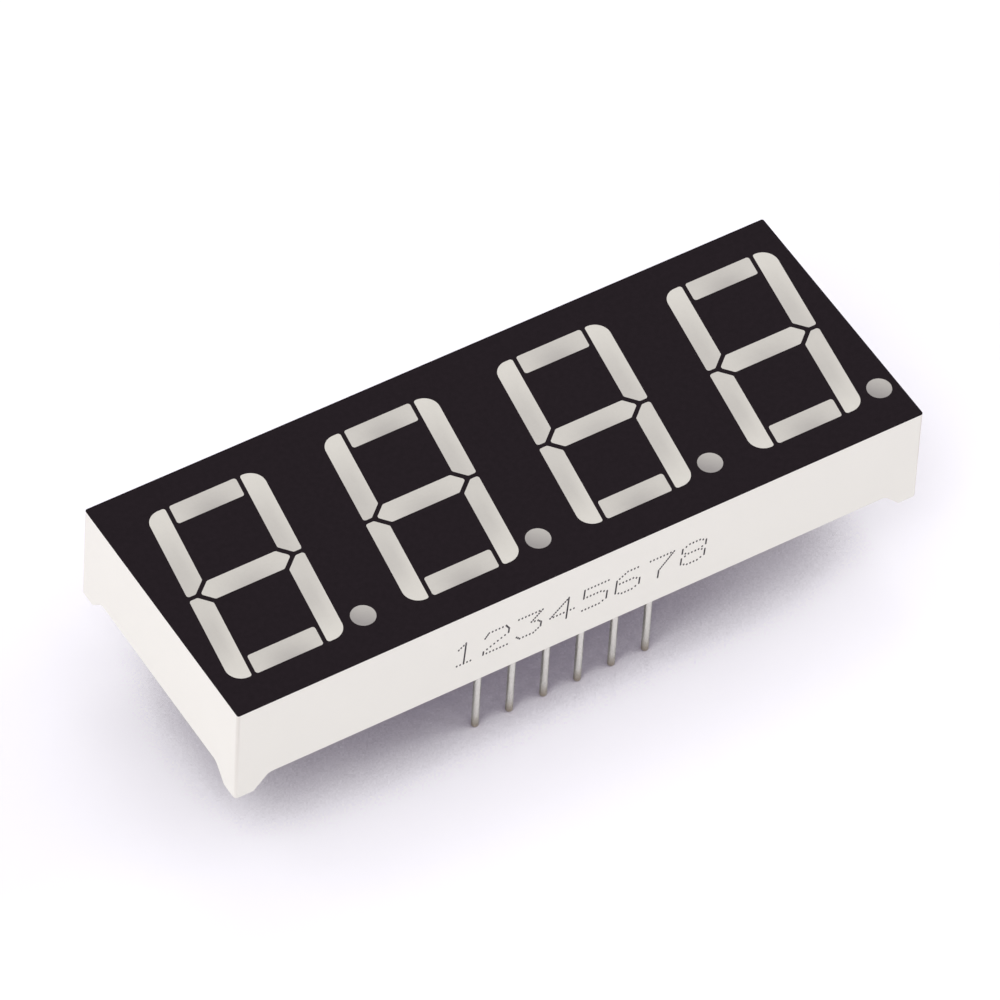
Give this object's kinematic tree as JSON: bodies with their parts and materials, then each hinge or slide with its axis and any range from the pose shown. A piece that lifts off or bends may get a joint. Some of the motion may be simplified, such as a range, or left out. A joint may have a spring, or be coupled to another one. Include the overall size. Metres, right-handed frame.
{
  "type": "seven segment display module",
  "caption": "Through-hole numeric LED display block: slanted seven segment digits with decimal points in a white moulding, on two rows of pins.",
  "frame": {"origin": "middle of the pin ends' plane, under the middle of the moulding", "axes": "+Z out of the display face; +X along the row of digits, left to right as they are read; +Y towards the tops of the digits"},
  "size_m": [0.0504, 0.0192, 0.0143],
  "materials": {
    "white_moulding": "smooth satin moulded",
    "black_coat": "matt printed coat",
    "milky_resin": "cast resin, milky",
    "board_laminate": "glass-filled laminate",
    "copper": "etched copper",
    "solder": "bright solder",
    "silver_glue": "silver-filled glue",
    "tinned_pin": "dull tin plating",
    "led_chip": "sawn crystal",
    "grey_ink": "printed dots",
    "bond_wire": "drawn gold wire"
  },
  "bodies": {
    "root": {"reflector_shell": "white_moulding", "black_face": "black_coat", "epoxy_fill": "milky_resin", "circuit_board": "board_laminate", "copper_tracks": "copper", "solder_joints": "solder", "die_glue": "silver_glue", "pin_01": "tinned_pin", "pin_02": "tinned_pin", "pin_03": "tinned_pin", "pin_04": "tinned_pin", "pin_05": "tinned_pin", "pin_06": "tinned_pin", "pin_07": "tinned_pin", "pin_08": "tinned_pin", "pin_09": "tinned_pin", "pin_10": "tinned_pin", "pin_11": "tinned_pin", "pin_12": "tinned_pin", "led_chip_1a": "led_chip", "led_chip_1b": "led_chip", "led_chip_1c": "led_chip", "led_chip_1d": "led_chip", "led_chip_1e": "led_chip", "led_chip_1f": "led_chip", "led_chip_1g": "led_chip", "led_chip_1dp": "led_chip", "led_chip_2a": "led_chip", "led_chip_2b": "led_chip", "led_chip_2c": "led_chip", "led_chip_2d": "led_chip", "led_chip_2e": "led_chip", "led_chip_2f": "led_chip", "led_chip_2g": "led_chip", "led_chip_2dp": "led_chip", "led_chip_3a": "led_chip", "led_chip_3b": "led_chip", "led_chip_3c": "led_chip", "led_chip_3d": "led_chip", "led_chip_3e": "led_chip", "led_chip_3f": "led_chip", "led_chip_3g": "led_chip", "led_chip_3dp": "led_chip", "led_chip_4a": "led_chip", "led_chip_4b": "led_chip", "led_chip_4c": "led_chip", "led_chip_4d": "led_chip", "led_chip_4e": "led_chip", "led_chip_4f": "led_chip", "led_chip_4g": "led_chip", "led_chip_4dp": "led_chip", "bond_wires_1": "bond_wire", "bond_wires_2": "bond_wire", "bond_wires_3": "bond_wire", "bond_wires_4": "bond_wire"}
  },
  "joints": []
}
